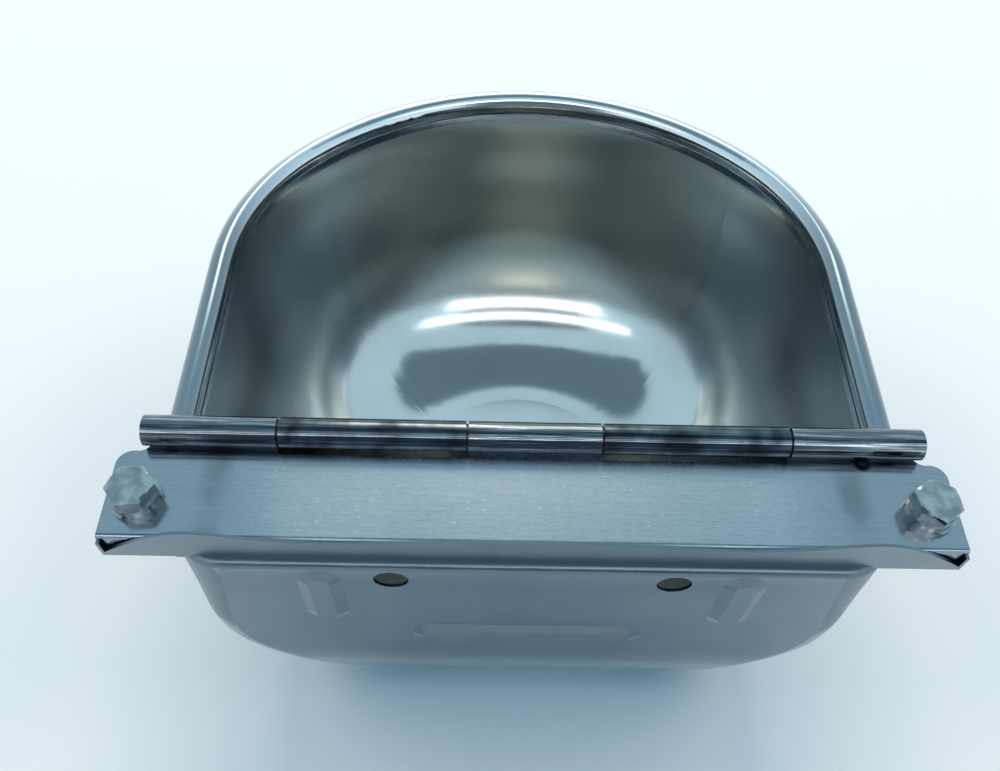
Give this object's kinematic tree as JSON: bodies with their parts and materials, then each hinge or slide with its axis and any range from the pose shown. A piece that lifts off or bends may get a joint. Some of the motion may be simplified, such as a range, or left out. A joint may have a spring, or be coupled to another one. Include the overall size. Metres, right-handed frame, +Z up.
{
  "type": "livestock drinking bowl",
  "caption": "Deep-drawn D-shaped steel bowl for wall mounting, with a bolted rear cover, a hinged guard flap and a float valve that keeps the water level.",
  "frame": {"origin": "middle of the overall box, on the plane of the bowl's underside", "axes": "+X across the bowl to the right seen from behind, +Y from the wall side to the front of the rim, +Z up"},
  "size_m": [0.2632, 0.2266, 0.131],
  "materials": {
    "bowl_steel": "satin",
    "cover_steel": "satin",
    "flap_steel": "satin",
    "pin_steel": "polished",
    "bolt_steel": "polished",
    "washer_steel": "polished",
    "strainer_steel": "satin",
    "rod_steel": "polished",
    "rod_nut_steel": "polished",
    "valve_brass": "cast and machined",
    "nut_brass": "machined",
    "seat_brass": "machined",
    "lever_brass": "cast",
    "seal_rubber": "matte",
    "plunger_plastic": "moulded",
    "float_plastic": "moulded"
  },
  "bodies": {
    "bowl": {"bowl_shell": "bowl_steel", "cover_plate": "cover_steel", "hinge_pin": "pin_steel", "cover_bolts": "bolt_steel", "spring_washers": "washer_steel", "flat_washers": "washer_steel", "ear_nuts": "bolt_steel", "valve_body": "valve_brass", "valve_seat": "seat_brass", "inlet_locknut": "nut_brass", "outer_seal": "seal_rubber", "inner_seal": "seal_rubber", "inlet_strainer": "strainer_steel", "pivot_pin": "pin_steel", "split_pin": "pin_steel"},
    "flap": {"guard_flap": "flap_steel"},
    "float_arm": {"float_lever": "lever_brass", "float_rod": "rod_steel", "rod_lock_nut": "rod_nut_steel", "float": "float_plastic", "float_nuts": "rod_nut_steel"},
    "plunger": {"plunger": "plunger_plastic", "plunger_seal": "seal_rubber"}
  },
  "joints": [
    {"name": "flap_hinge", "type": "hinge", "parent": "bowl", "child": "flap", "pos_m": [0, -0.07175, 0.126], "axis": [1, 0, 0], "range_deg": [-3, 255]},
    {"name": "float_swing", "type": "hinge", "parent": "bowl", "child": "float_arm", "pos_m": [-0.07471, -0.08865, 0.0905], "axis": [0, -1, 0], "range_deg": [0, 26]},
    {"name": "plunger_slide", "type": "slide", "parent": "bowl", "child": "plunger", "axis": [-1, 0, 0], "range_m": [0, 0.0037]}
  ],
  "couplings": [
    {"joint": "plunger_slide", "follows": "float_swing", "m_per_rad": 0.0081402}
  ]
}
